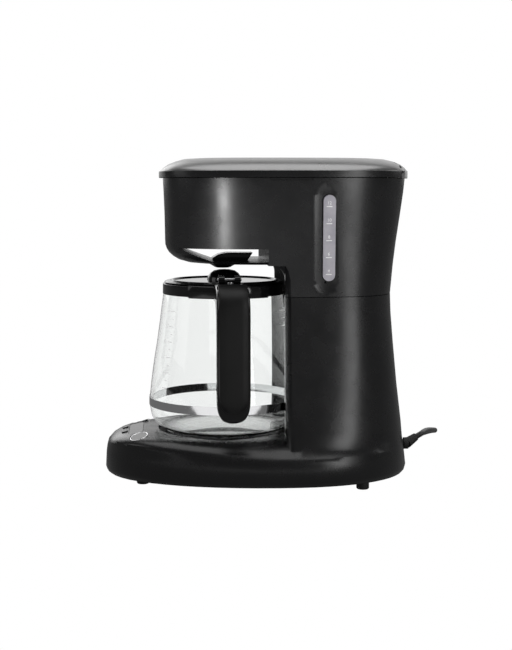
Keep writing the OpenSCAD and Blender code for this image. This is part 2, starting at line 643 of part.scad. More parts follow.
module handle_screw() color([0.75, 0.75, 0.76]) carafe_place() {
    translate([74, 0, 140]) cylinder(r = 1.5, h = 18);
    translate([74, 0, 158]) cylinder(r = 3, h = 1.2);
}

module carafe_lid() color([0.06, 0.06, 0.065]) carafe_place() difference() {
    union() {
        rotate_extrude($fn = 128) polygon([[0, 152], [14, 152], [14, 154.8], [57, 154.8], [57, 150], [59, 150],
            [59, 154.8], [62.2, 154.8], [62.5, 155.4], [61, 156.4], [56.2, 156.5], [55.6, 157.7], [54, 157.7],
            [53.4, 156.5], [18, 156.6], [17.4, 160], [15, 163.8], [11, 166.6], [5.5, 167.8], [0, 168.1]]);
        translate([50, -11, 155]) cube([11, 22, 6.2]);
        for (s = [-1, 1]) {
            translate([lid_pin_x, s * 8, lid_pin_z]) rotate([90, 0, 0]) cylinder(r = 4, h = 6, center = true);
            translate([56, s * 8 - 3, 155]) cube([9.2, 6, 6.2]);
        }
    }
    translate([0, 0, 140]) cylinder(r = 12, h = 16);
    translate([0, 0, 150]) cylinder(r = 2, h = 16);
    translate([lid_pin_x, 0, lid_pin_z]) rotate([90, 0, 0]) cylinder(r = 1.6, h = 40, center = true);
}

module lid_hinge_pin() color([0.8, 0.8, 0.82]) carafe_place()
    translate([lid_pin_x, 0, lid_pin_z]) rotate([90, 0, 0]) cylinder(r = 1.5, h = 24, center = true);

// ---------------------------------------------------------------- cord

module cord_bushing() color([0.05, 0.05, 0.05]) placed() translate(gland_at) {
    rotate([-90, 0, 0]) {
        translate([0, 0, -13]) cylinder(r = 6.4, h = 3.4);
        translate([0, 0, -13]) cylinder(r = 4.1, h = 14);
        translate([0, 0, -1.2]) cylinder(r = 6.2, h = 4.8);
    }
    tail = norm(gland_tail);
    translate(gland_foot) rotate([0, acos(gland_tail[2] / tail), atan2(gland_tail[1], gland_tail[0])]) cylinder(r1 = 5.6, r2 = 4.2, h = tail);
}

// Smooth points on the cord's route, by a Catmull-Rom curve
function route_at(p, i, t) =
    let(a = p[max(i - 1, 0)], b = p[i], c = p[i + 1], d = p[min(i + 2, len(p) - 1)])
    0.5 * (2 * b + (c - a) * t + (2 * a - 5 * b + 4 * c - d) * t * t + (3 * b - a - 3 * c + d) * t * t * t);
cord_rings = [for (i = [0:len(cord_points) - 2]) for (k = [0:1]) route_at(cord_points, i, k / 2),
    cord_points[len(cord_points) - 1]];

function unit(v) = v / norm(v);
function heading(p, i) = unit(p[min(i + 1, len(p) - 1)] - p[max(i - 1, 0)]);

module cord_tube(p, r, sides) {
    count = len(p);
    points = [for (i = [0:count - 1]) let(h = heading(p, i), u = unit(cross(h, [0, 0, 1])), v = cross(u, h))
        for (k = [0:sides - 1]) p[i] + r * (cos(360 * k / sides) * u + sin(360 * k / sides) * v)];
    skin = [for (i = [0:count - 2]) for (k = [0:sides - 1])
        let(a = i * sides + k, b = i * sides + (k + 1) % sides, c = a + sides, d = b + sides)
        each [[a, b, c], [b, d, c]]];
    polyhedron(points, concat(skin, [[for (k = [sides - 1:-1:0]) k]],
        [[for (k = [0:sides - 1]) (count - 1) * sides + k]]));
}

module power_cord() color([0.04, 0.04, 0.04]) cord_tube(cord_rings, cord_d / 2, 8);

module cord_coil() color([0.04, 0.04, 0.04]) translate([coil_at[0], coil_at[1], 0.1]) rotate_extrude($fn = 96)
    polygon([[coil_mid_r - coil_half_w, 1.5], [coil_mid_r - coil_half_w + 1.5, 0], [coil_mid_r + coil_half_w - 1.5, 0],
        [coil_mid_r + coil_half_w, 1.5], [coil_mid_r + coil_half_w, coil_h - 1.5],
        [coil_mid_r + coil_half_w - 1.5, coil_h], [coil_mid_r - coil_half_w + 1.5, coil_h],
        [coil_mid_r - coil_half_w, coil_h - 1.5]]);

module cord_tie() color([0.06, 0.06, 0.06]) translate([coil_at[0], coil_at[1] - coil_mid_r, 0]) difference() {
    translate([-3, -coil_half_w - 1.2, 0]) cube([6, 2 * coil_half_w + 2.4, coil_h + 1.3]);
    translate([-10, -coil_half_w - 0.05, -1]) cube([20, 2 * coil_half_w + 0.1, coil_h + 1.15]);
}

module plug_body() color([0.05, 0.05, 0.05]) translate(plug_at) rotate([0, 0, -90]) {
    translate([-13, -9, -8.5]) cube([24, 18, 17]);
    translate([-30, 0, 0]) rotate([0, 90, 0]) cylinder(r1 = 3.4, r2 = 6.5, h = 17.5);
    translate([-40, 0, 0]) rotate([0, 90, 0]) cylinder(r = cord_d / 2, h = 12);
}

module plug_blades() color([0.85, 0.8, 0.6]) translate(plug_at) rotate([0, 0, -90]) for (s = [-1, 1])
    translate([11, s * 6.35 - 0.8, -3.2]) cube([17, 1.6, 6.4]);

base_housing();
bottom_cover();
rubber_feet();
cover_screws();
upper_housing();
water_tank();
level_window();
tank_outlet();
warming_plate();
plate_ring();
heating_element();
element_clamp();
thermostat();
thermal_fuse();
cold_hose();
check_valve();
check_ball();
hot_hose();
riser_tube();
filter_basket();
basket_handle();
mesh_filter();
valve_guard();
drip_cup();
drip_valve();
valve_spring();
lid_frame();
lid_cover();
spray_head();
hinge_cover();
hinge_pin();
panel_lens();
clock_display();
circuit_board();
button_rings();
brew_button();
program_button();
hour_button();
minute_button();
carafe_glass();
carafe_band();
carafe_collar();
carafe_handle();
handle_inlay();
handle_screw();
carafe_lid();
lid_hinge_pin();
cord_bushing();
power_cord();
cord_coil();
cord_tie();
plug_body();
plug_blades();
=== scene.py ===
"""Looks of the drip coffee maker: finer pieces, materials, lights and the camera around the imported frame."""

import json
import math

import bmesh
import bpy
import numpy as np
from mathutils import Matrix, Vector

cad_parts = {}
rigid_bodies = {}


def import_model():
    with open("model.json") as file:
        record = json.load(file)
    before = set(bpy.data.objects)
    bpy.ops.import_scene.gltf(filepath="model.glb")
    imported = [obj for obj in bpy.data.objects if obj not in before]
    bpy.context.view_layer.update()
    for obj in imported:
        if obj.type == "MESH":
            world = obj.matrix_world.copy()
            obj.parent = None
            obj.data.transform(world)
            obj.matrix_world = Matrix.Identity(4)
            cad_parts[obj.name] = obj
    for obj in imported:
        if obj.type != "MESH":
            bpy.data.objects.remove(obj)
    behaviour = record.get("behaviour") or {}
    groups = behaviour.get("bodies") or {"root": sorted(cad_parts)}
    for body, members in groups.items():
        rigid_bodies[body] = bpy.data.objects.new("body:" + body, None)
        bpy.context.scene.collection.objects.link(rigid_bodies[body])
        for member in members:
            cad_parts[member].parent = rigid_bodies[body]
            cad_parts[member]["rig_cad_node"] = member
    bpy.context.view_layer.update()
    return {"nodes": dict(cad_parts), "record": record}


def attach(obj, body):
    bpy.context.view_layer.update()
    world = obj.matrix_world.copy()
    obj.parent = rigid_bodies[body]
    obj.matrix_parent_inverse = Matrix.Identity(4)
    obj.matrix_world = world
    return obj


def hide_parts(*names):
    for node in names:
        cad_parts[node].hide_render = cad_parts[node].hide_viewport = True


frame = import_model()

nodes = frame["nodes"]
scene = bpy.context.scene
MM = 0.001
MID = Vector((-10, -1, 0))  # middle of the base in the row frame, in millimetres


def spot(x, y, z):
    """Row-frame place in metres of a point given in millimetres from the middle of the base."""
    return (Vector((x, y, z)) + MID) * MM


# ---------------------------------------------------------------- camera

camera_data = bpy.data.cameras.new("camera")
camera = bpy.data.objects.new("camera", camera_data)
scene.collection.objects.link(camera)
camera.location = (1.2741, -0.0895, 0.2995)
camera.rotation_mode = "QUATERNION"
camera.rotation_quaternion = Vector((-0.99178, 0.06935, -0.10751)).to_track_quat("-Z", "Y")
camera_data.lens = 68.12
camera_data.sensor_width = 36
camera_data.clip_start, camera_data.clip_end = 0.05, 60
scene.camera = camera

# ---------------------------------------------------------------- node materials


class Look:
    """A node material around one Principled shader, with textures in metres of the row frame."""

    def __init__(self, name, color, roughness, **sockets):
        self.material = bpy.data.materials.new(name)
        self.material.use_nodes = True
        self.tree = self.material.node_tree
        self.shader = self.tree.nodes["Principled BSDF"]
        self.set("Base Color", (*color, 1))
        self.set("Roughness", roughness)
        for key, value in sockets.items():
            self.set(key.replace("_", " "), value)
        self.coords = self.tree.nodes.new("ShaderNodeTexCoord").outputs["Object"]

    def set(self, socket, value):
        self.shader.inputs[socket].default_value = value

    def noise(self, scale, detail=2.0, stretch=(1, 1, 1)):
        mapping = self.tree.nodes.new("ShaderNodeMapping")
        mapping.inputs["Scale"].default_value = stretch
        texture = self.tree.nodes.new("ShaderNodeTexNoise")
        texture.inputs["Scale"].default_value = scale
        texture.inputs["Detail"].default_value = detail
        self.tree.links.new(self.coords, mapping.inputs["Vector"])
        self.tree.links.new(mapping.outputs["Vector"], texture.inputs["Vector"])
        return texture.outputs["Fac"]

    def spread(self, source, low, high, start=0.3, end=0.7):
        ramp = self.tree.nodes.new("ShaderNodeMapRange")
        for key, value in (("From Min", start), ("From Max", end), ("To Min", low), ("To Max", high)):
            ramp.inputs[key].default_value = value
        self.tree.links.new(source, ramp.inputs["Value"])
        return ramp.outputs["Result"]

    def rough(self, scale, low, high, stretch=(1, 1, 1)):
        self.tree.links.new(self.spread(self.noise(scale, 3, stretch), low, high), self.shader.inputs["Roughness"])
        return self

    def colors(self, scale, first, second, stretch=(1, 1, 1)):
        ramp = self.tree.nodes.new("ShaderNodeValToRGB")
        ramp.color_ramp.elements[0].color = (*first, 1)
        ramp.color_ramp.elements[1].color = (*second, 1)
        ramp.color_ramp.elements[0].position, ramp.color_ramp.elements[1].position = 0.35, 0.65
        self.tree.links.new(self.noise(scale, 3, stretch), ramp.inputs["Fac"])
        self.tree.links.new(ramp.outputs["Color"], self.shader.inputs["Base Color"])
        return self

    def bump(self, scale, depth, stretch=(1, 1, 1), source=None):
        bump = self.tree.nodes.new("ShaderNodeBump")
        bump.inputs["Distance"].default_value = depth
        bump.inputs["Strength"].default_value = 1.0
        earlier = self.shader.inputs["Normal"].links
        if earlier:
            self.tree.links.new(earlier[0].from_socket, bump.inputs["Normal"])
        self.tree.links.new(source or self.noise(scale, 2, stretch), bump.inputs["Height"])
        self.tree.links.new(bump.outputs["Normal"], self.shader.inputs["Normal"])
        return self

    def waves(self, scale, direction="Z", kind="BANDS"):
        wave = self.tree.nodes.new("ShaderNodeTexWave")
        wave.wave_type = kind
        wave.bands_direction = direction
        wave.inputs["Scale"].default_value = scale
        self.tree.links.new(self.coords, wave.inputs["Vector"])
        return wave.outputs["Fac"]


def plastic(name, color, low, high, grain=2600, depth=4e-6):
    second = tuple(c * 1.18 for c in color)
    return Look(name, color, low).colors(35, color, second).rough(60, low, high).bump(grain, depth)


looks = {
    "housing_black": plastic("satin_black", (0.0095, 0.0095, 0.01), 0.24, 0.29, 3200, 2e-6),
    "trim_black": plastic("gloss_black", (0.006, 0.006, 0.0063), 0.07, 0.13, 900, 6e-7),
    "rubber_black": plastic("rubber_black", (0.011, 0.011, 0.011), 0.62, 0.75, 1500, 9e-6),
    "screw_steel": Look("plated_steel", (0.62, 0.62, 0.63), 0.25, Metallic=1.0)
    .rough(900, 0.2, 0.34, (1, 1, 6)).bump(2500, 1.5e-6, (1, 1, 8)),
    "lid_silver": Look("silver_lacquer", (0.24, 0.24, 0.24), 0.3, Metallic=0.85, Coat_Weight=0.2, Coat_Roughness=0.2)
    .colors(4200, (0.22, 0.22, 0.222), (0.28, 0.278, 0.276)).rough(40, 0.27, 0.34).bump(5000, 1.5e-6),
    "tank_grey": Look("smoked_tank", (0.2, 0.21, 0.23), 0.25, Transmission_Weight=0.6)
    .rough(30, 0.2, 0.3).bump(1200, 2e-6),
    "window_clear": Look("milky_window", (0.62, 0.6, 0.66), 0.32, Subsurface_Weight=0.6, Subsurface_Radius=(.004, .004, .004))
    .colors(90, (0.56, 0.545, 0.6), (0.67, 0.65, 0.7)).rough(120, 0.28, 0.36).bump(700, 3e-6),
    "plate_enamel": Look("plate_enamel", (0.012, 0.012, 0.013), 0.3, Coat_Weight=0.5, Coat_Roughness=0.12)
    .colors(2400, (0.009, 0.009, 0.01), (0.024, 0.024, 0.026)).rough(50, 0.22, 0.34).bump(1800, 4e-6),
    "aluminium_raw": Look("raw_aluminium", (0.72, 0.72, 0.73), 0.35, Metallic=1.0)
    .colors(60, (0.66, 0.66, 0.67), (0.78, 0.78, 0.79)).rough(300, 0.28, 0.46).bump(1400, 4e-6),
    "silicone_white": Look("silicone", (0.78, 0.78, 0.75), 0.4, Subsurface_Weight=0.5, Transmission_Weight=0.25)
    .colors(50, (0.72, 0.72, 0.69), (0.82, 0.82, 0.79)).rough(200, 0.35, 0.48).bump(900, 3e-6),
    "nylon_white": plastic("nylon", (0.74, 0.74, 0.7), 0.38, 0.5, 1700, 4e-6),
    "inner_black": plastic("inner_black", (0.014, 0.014, 0.0145), 0.42, 0.55, 2200, 6e-6),
    "chrome_trim": Look("chrome", (0.78, 0.78, 0.79), 0.06, Metallic=1.0).rough(500, 0.05, 0.09).bump(700, 4e-7),
    "cord_black": plastic("cord_vinyl", (0.012, 0.012, 0.012), 0.33, 0.42, 1200, 4e-6),
    "blade_brass": Look("plated_brass", (0.74, 0.68, 0.5), 0.22, Metallic=1.0)
    .colors(200, (0.7, 0.64, 0.46), (0.78, 0.72, 0.55)).rough(700, 0.18, 0.3).bump(1500, 2e-6),
    "fuse_grey": plastic("glass_sleeve", (0.55, 0.52, 0.46), 0.55, 0.7, 1600, 1.2e-5),
}
looks["mesh_gold"] = Look("gold_mesh", (0.72, 0.52, 0.2), 0.3, Metallic=1.0).rough(300, 0.25, 0.36)
looks["mesh_gold"].bump(0, 6e-5, source=looks["mesh_gold"].waves(420, "Z"))
looks["mesh_gold"].bump(0, 6e-5, source=looks["mesh_gold"].waves(420, "X"))
looks["board_green"] = Look("solder_mask", (0.02, 0.12, 0.045), 0.25).colors(260, (0.012, 0.09, 0.03), (0.03, 0.17, 0.06))
looks["board_green"].bump(0, 2e-5, source=looks["board_green"].waves(110, "X"))
glass = Look("carafe_glass", (0.985, 0.995, 0.99), 0.0, Transmission_Weight=1.0, IOR=1.47)
glass.bump(14, 2.5e-5)
looks["clear_glass"] = glass
soft_grip = plastic("soft_grip", (0.006, 0.006, 0.006), 0.42, 0.5, 2600, 5e-6)
soft_grip.set("Specular IOR Level", 0.25)
lid_gloss = plastic("lid_gloss", (0.006, 0.006, 0.0063), 0.03, 0.06, 600, 2e-7)
# white print for the carafe and window scales, with a painted glow: emission 0.35 makes the marks shine although they
# are no lamp
ink_with_painted_glow = Look("printed_white_painted_glow", (0.85, 0.85, 0.85), 0.5, Emission_Color=(1, 1, 1, 1), Emission_Strength=0.35).colors(800, (0.8, 0.8, 0.8), (0.9, 0.9, 0.9)).bump(2500, 2e-6)
slot_of = {s["node"]: s["material_slot"] for s in frame["record"]["subparts"]}


def paint(obj, slot):
    obj.data.materials.clear()
    obj.data.materials.append(looks[slot].material)


# ---------------------------------------------------------------- mesh helpers


def new_piece(name, verts, faces, smooth_angle=40):
    mesh = bpy.data.meshes.new(name)
    mesh.from_pydata([tuple(v) for v in verts], [], faces)
    mesh.validate()
    work = bmesh.new()
    work.from_mesh(mesh)
    bmesh.ops.remove_doubles(work, verts=work.verts, dist=2e-6)
    bmesh.ops.recalc_face_normals(work, faces=work.faces)
    work.to_mesh(mesh)
    work.free()
    obj = bpy.data.objects.new(name, mesh)
    scene.collection.objects.link(obj)
    mesh.shade_smooth()
    mesh.set_sharp_from_angle(angle=math.radians(smooth_angle))
    return obj


def settle(obj, body, slot, *replaced):
    """The piece rides on its body, stands for the named nodes and takes the slot's material."""
    if replaced:
        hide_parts(*replaced)
    paint(obj, slot)
    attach(obj, body)
    return obj


def rings_mesh(name, rings, closed_ring=True, caps=True, closed_path=False, smooth_angle=40):
    """Skin over rings of points that all have the same count."""
    count, sides = len(rings), len(rings[0])
    faces = []
    for k in range(count if closed_path else count - 1):
        for i in range(sides if closed_ring else sides - 1):
            a, b = k * sides + i, k * sides + (i + 1) % sides
            c, d = ((k + 1) % count) * sides + i, ((k + 1) % count) * sides + (i + 1) % sides
            faces.append((a, b, d, c))
    if caps and closed_ring and not closed_path:
        faces.append(tuple(range(sides - 1, -1, -1)))
        faces.append(tuple((count - 1) * sides + i for i in range(sides)))
    return new_piece(name, [p for ring in rings for p in ring], faces, smooth_angle)


def smooth_line(points, steps):
    """Catmull-Rom points along a route of tuples."""
    pts = [np.array(p, float) for p in points]
    out = []
    for i in range(len(pts) - 1):
        a, b, c, d = pts[max(i - 1, 0)], pts[i], pts[i + 1], pts[min(i + 2, len(pts) - 1)]
        for k in range(steps):
            t = k / steps
            out.append(0.5 * (2 * b + (c - a) * t + (2 * a - 5 * b + 4 * c - d) * t * t + (3 * b - a - 3 * c + d) * t**3))
    out.append(pts[-1])
    return out


def tube(name, line, radius, sides=16):
    """Round tube along points in metres; radius is a number or one for each point."""
    line = [Vector(p) for p in line]
    radii = radius if hasattr(radius, "__len__") else [radius] * len(line)
    rings, normal = [], None
    for i, p in enumerate(line):
        heading = (line[min(i + 1, len(line) - 1)] - line[max(i - 1, 0)]).normalized()
        if normal is None:
            normal = heading.cross(Vector((0, 0, 1)) if abs(heading.z) < 0.9 else Vector((1, 0, 0))).normalized()
        normal = (normal - heading * normal.dot(heading)).normalized()
        other = heading.cross(normal)
        rings.append([p + radii[i] * (math.cos(a) * normal + math.sin(a) * other)
                      for a in (2 * math.pi * k / sides for k in range(sides))])
    return rings_mesh(name, rings)


def lathe(name, profile, centre, steps=160, start=0.0, sweep=360.0, closed=True, smooth_angle=40):
    """Body of revolution of a closed profile of (radius, height) in millimetres about a vertical line."""
    full = sweep >= 360
    stations = steps if full else steps + 1
    rings = []
    for k in range(stations):
        a = math.radians(start + sweep * k / steps)
        rings.append([spot(centre[0] + r * math.cos(a), centre[1] + r * math.sin(a), centre[2] + z) for r, z in profile])
    return rings_mesh(name, rings, closed_ring=closed, caps=not full, closed_path=full, smooth_angle=smooth_angle)


def with_modifiers(obj, width, angle=32, segments=2):
    """Rounded edges and even shading, as modifiers."""
    weld = obj.modifiers.new("weld", "WELD")
    weld.merge_threshold = 1e-5
    bevel = obj.modifiers.new("bevel", "BEVEL")
    bevel.width, bevel.segments = width, segments
    bevel.limit_method, bevel.angle_limit = "ANGLE", math.radians(angle)
    bevel.miter_outer = "MITER_ARC"
    normals = obj.modifiers.new("normals", "WEIGHTED_NORMAL")
    normals.keep_sharp = False
    normals.weight = 60
    return obj


def smooth_cad(obj):
    if "custom_normal" in obj.data.attributes:
        obj.data.attributes.remove(obj.data.attributes["custom_normal"])
    obj.data.shade_smooth()


# ---------------------------------------------------------------- outlines of the body, as in the CAD

BASE = [(7.5, 94.5, -153, 157, 30, 2.1, 2.2), (10, 97, -156, 159, 30, 2.1, 2.2), (14, 98, -157.4, 160, 30, 2.1, 2.2),
        (30, 97, -156.6, 158, 30, 2.1, 2.25), (37, 95, -155.6, 157, 30, 2.15, 2.3), (41, 91, -154.4, 148, 30, 2.35, 2.3),
        (45, 86.5, -150.5, 140, 28, 2.65, 2.3), (48, 81.5, -145, 132, 26, 2.9, 2.3),
        (50.5, 75, -137, 124, 24, 3.2, 2.3), (52.2, 68, -128, 110, 22, 3.4, 2.3), (53, 60, -119, 100, 20, 3.4, 2.3)]
COLUMN = [(20, 97.4, -140, 158.9, 30, 2, 2.2), (37, 95, -130, 157, 30, 2, 2.3), (44, 90.4, -126, 155.8, 34, 2.1, 2.3),
          (60, 85.5, -120, 154.2, 42, 2.4, 2.4), (100, 79.5, -110, 149, 50, 2.5, 2.5), (145, 75, -100, 144.4, 52, 2.5, 2.6),
          (175, 72.8, -96, 141.8, 54, 2.5, 2.6), (195, 72, -94, 141, 54, 2.5, 2.6)]
HEAD = [(195.6, 72, -92, 141, 54, 2.5, 2.6), (226.5, 72.6, -93, 143.8, 48, 2.5, 2.6), (249, 73.4, -93.6, 146.6, 40, 2.5, 2.6),
        (278, 75.4, -94, 150.8, 34, 2.5, 2.6), (300, 77, -94.8, 153.8, 30, 2.5, 2.6), (313.4, 77.8, -95.5, 155.2, 28, 2.5, 2.6)]
SCOOP = [(226.5, 50, -58, 60, 20, 2.3, 2.6), (227.6, 58, -70, 60, 24, 2.3, 2.6), (230.4, 64.5, -79.5, 60, 30, 2.4, 2.6),
         (233.9, 68.6, -85.4, 60, 34, 2.4, 2.6), (237.9, 71.4, -89.6, 60, 38, 2.5, 2.6), (241.6, 72.8, -91.9, 60, 40, 2.5, 2.6),
         (246, 73.3, -93.4, 60, 40, 2.5, 2.6), (250, 73.3, -93.55, 60, 40, 2.5, 2.6)]
COVER = [(320.5, 80.2, -98.6, 157.8, 28, 2.5, 2.6), (324, 77, -95.2, 155, 28, 2.5, 2.6), (327.6, 71, -90, 150.6, 28, 2.5, 2.6),
         (330.8, 63, -82, 143, 28, 2.5, 2.6), (333, 54, -74, 134, 28, 2.5, 2.6), (334, 40, -58, 120, 28, 2.5, 2.6)]


class Skin:
    """Smooth surface through a stack of egg-shaped outlines, for shading normals."""

    def __init__(self, levels):
        table = np.array(levels, float)
        self.z = table[:, 0]
        self.columns = table[:, 1:]
        self.slopes = np.gradient(self.columns, self.z, axis=0)

    def at(self, z):
        z = min(max(z, self.z[0]), self.z[-1])
        i = int(np.clip(np.searchsorted(self.z, z) - 1, 0, len(self.z) - 2))
        h = self.z[i + 1] - self.z[i]
        t = (z - self.z[i]) / h
        return ((2 * t**3 - 3 * t**2 + 1) * self.columns[i] + (t**3 - 2 * t**2 + t) * h * self.slopes[i]
                + (3 * t**2 - 2 * t**3) * self.columns[i + 1] + (t**3 - t**2) * h * self.slopes[i + 1])

    def level(self, x, y, z):
        hw, front, back, mid, nf, nb = self.at(z)
        n, reach = (nf, mid - front) if y < mid else (nb, back - mid)
        return (abs(x / hw) ** n + abs((y - mid) / reach) ** n) ** (1 / n) - 1

    def normal(self, x, y, z):
        e = 0.25
        g = np.array([self.level(x + e, y, z) - self.level(x - e, y, z), self.level(x, y + e, z) - self.level(x, y - e, z),
                      self.level(x, y, z + e) - self.level(x, y, z - e)])
        size = np.linalg.norm(g)
        return g / size if size > 1e-9 else np.array([0.0, 0.0, 1.0])


def shell(name, node, skins, width=0.0007):
    """A copy of a CAD shell with rounded edges, shaded by the smooth surface that its facets follow."""
    mesh = nodes[node].data.copy()
    mesh.name = name
    if "custom_normal" in mesh.attributes:
        mesh.attributes.remove(mesh.attributes["custom_normal"])
    work = bmesh.new()
    work.from_mesh(mesh)
    bmesh.ops.remove_doubles(work, verts=work.verts, dist=1e-5)
    bmesh.ops.dissolve_degenerate(work, edges=work.edges, dist=1e-5)
    work.to_mesh(mesh)
    work.free()
    mesh.shade_smooth()
    obj = bpy.data.objects.new(name, mesh)
    scene.collection.objects.link(obj)
    with_modifiers(obj, width, 34)
    graph = bpy.context.evaluated_depsgraph_get()
    final = bpy.data.meshes.new_from_object(obj.evaluated_get(graph))
    obj.modifiers.clear()
    obj.data = final
    corner = [Vector(n.vector) for n in final.corner_normals]
    for face in final.polygons:
        flat = face.normal
        for loop in face.loop_indices:
            x, y, z = Vector(final.vertices[final.loops[loop].vertex_index].co) / MM - MID
            for skin in skins:
                if skin.z[0] - 0.4 <= z <= skin.z[-1] + 0.4 and abs(skin.level(x, y, z)) < 0.024:
                    n = Vector(skin.normal(x, y, z))
                    if n.dot(flat) > 0.9:
                        corner[loop] = n
                        break
    final.normals_split_custom_set([tuple(n) for n in corner])
    return obj


# ---------------------------------------------------------------- power cord

CORD_R = 0.003
ROUTE = [(-17, 173.2, 36.9), (-24.5, 181, 39), (-42, 188.6, 38.2), (-66, 198, 34.5), (-94, 208, 29), (-116, 215.5, 24.5),
         (-130, 218.6, 21.5), (-142, 216, 18.5), (-149.5, 207.5, 14), (-152, 197, 8), (-150.3, 188.5, 4.4),
         (-146, 181, 3.2), (-138, 169.5, 3.1), (-128.6, 156.1, 3.1)]
COIL = (-160, 138)
COIL_OUTER, COIL_INNER, COIL_LOW, COIL_HIGH = 36.2, 29.8, 3.1, 9.3
JOIN_ANGLE = math.radians(30)  # where the route meets the coil
TURNS = 3 + 30 / 360


def ease(u, start, end):
    t = min(max((u - start) / (end - start), 0), 1)
    return t * t * (3 - 2 * t)


def cord_line():
    line = [tuple(p) for p in smooth_line(ROUTE, 4)][:-1]
    count = round(TURNS * 36)
    for k in range(count + 1):
        u = TURNS * k / count
        r = COIL_OUTER + (COIL_INNER - COIL_OUTER) * (ease(u, 0.78, 0.93) - ease(u, 2.2, 2.4))
        z = COIL_LOW + (COIL_HIGH - COIL_LOW) * ease(u, 1.6, 1.75)
        a = JOIN_ANGLE - 2 * math.pi * u
        line.append((COIL[0] + r * math.cos(a), COIL[1] + r * math.sin(a), z))
    line += [(COIL[0] + COIL_OUTER, y, COIL_HIGH) for y in (130, 122, 114)]
    return [Vector(p) * MM for p in line]


line = cord_line()
cord = tube("power_cord_line", line, CORD_R, 14)
settle(cord, "housing", "cord_black", "power_cord", "cord_coil")
cord_length = sum((b - a).length for a, b in zip(line, line[1:]))
print("cord length", round(cord_length, 3))

# ---------------------------------------------------------------- shells of the machine

settle(shell("housing_lower_skin", "base_housing", [Skin(BASE), Skin(COLUMN)]), "housing", "housing_black", "base_housing")
upper_skin = shell("housing_upper_skin", "upper_housing", [Skin(HEAD), Skin(SCOOP)])
settle(upper_skin, "housing", "housing_black", "upper_housing")
lid_skin = shell("lid_cover_skin", "lid_cover", [Skin(COVER)], 0.0006)
settle(lid_skin, "top_lid", "lid_silver", "lid_cover")

# ---------------------------------------------------------------- carafe

CARAFE = (0, -32, 51.5)
TURN = math.radians(2)


def carafe_spot(x, y, z):
    c, s = math.cos(TURN), math.sin(TURN)
    return spot(CARAFE[0] + x * c - y * s, CARAFE[1] + x * s + y * c, CARAFE[2] + z)


OUTER = [(52, 0), (58, 0.6), (65, 3), (71.6, 7.6), (76.4, 14.5), (78.4, 24), (78.8, 31), (78.3, 38), (76.8, 52),
         (73.6, 75), (70.6, 93), (66.8, 120), (64.1, 140), (62.6, 146)]
INNER = [(60.2, 146), (61.7, 140), (64.4, 120), (68.2, 93), (71.2, 75), (74.4, 52), (75.9, 38), (76.4, 31), (76, 24),
         (74, 14.5), (69, 7.6), (62, 3.8), (56, 2.6)]


def glass_body():
    outer = [tuple(p) for p in smooth_line(OUTER, 4)]
    inner = [tuple(p) for p in smooth_line(INNER, 4)]
    rim = [(62.3, 146.7), (61.4, 147), (60.5, 146.7)]
    floor_low = [(r, 0.0 + 1.4 * (1 - (r / 52) ** 2)) for r in (0.2, 12, 26, 38, 47)]
    floor_high = [(r, 2.6 + 1.6 * (1 - (r / 56) ** 2)) for r in (50, 40, 28, 14, 0.2)]
    profile = floor_low + outer + rim + inner + floor_high
    return lathe("carafe_glass_body", profile, CARAFE, 192, smooth_angle=60)


settle(glass_body(), "carafe", "clear_glass", "carafe_glass")

COLLAR_PART = [(63.6, 143.2), (64.2, 142.1), (65.3, 141.9), (66.3, 142.8), (66.6, 148), (66.4, 153.6), (65.8, 154.4),
               (64.9, 154.7), (59.4, 154.6), (59.4, 146.2), (62.9, 146.2)]
HANDLE_STATIONS = [((66, 157.5), (66, 138), 16.5), ((76, 158), (76, 138), 16.5), ((86, 158.2), (84.5, 137), 16.5),
                   ((96, 157.8), (91, 134), 16.5), ((105, 155.6), (96.3, 129.5), 16.5), ((112, 151), (99, 123), 16.5),
                   ((116.4, 143.5), (100, 115), 16.5), ((118, 132), (100.2, 106), 16.5), ((118, 108), (100.2, 92), 16.5),
                   ((118, 80), (100, 76), 16.5), ((118, 56), (99.8, 56), 16.5), ((117.4, 44), (99.6, 44.5), 16.3),
                   ((116.2, 36), (99.4, 37), 15.3), ((114.2, 30.5), (99.8, 31.5), 13), ((111.6, 26.8), (101, 27.6), 10),
                   ((108.6, 24.6), (103, 25), 5), ((106.6, 23.9), (105, 24), 1.6)]


def handle_grip():
    """Grip of rounded cross-section, from the collar out, over and down to its rounded end."""
    rows = [(*o, *i, w) for o, i, w in HANDLE_STATIONS]
    rings = []
    for ox, oz, ix, iz, w in smooth_line(rows, 4):
        ring = []
        for k in range(40):
            a = 2 * math.pi * (k + 0.5) / 40
            u = math.copysign(abs(math.cos(a)) ** 0.42, math.cos(a))
            v = math.copysign(abs(math.sin(a)) ** 0.42, math.sin(a))
            mx, mz = (ox + ix) / 2 + u * (ox - ix) / 2, (oz + iz) / 2 + u * (oz - iz) / 2
            ring.append(carafe_spot(mx, v * w, mz))
        rings.append(ring)
    return rings_mesh("carafe_handle_grip", rings, smooth_angle=50)


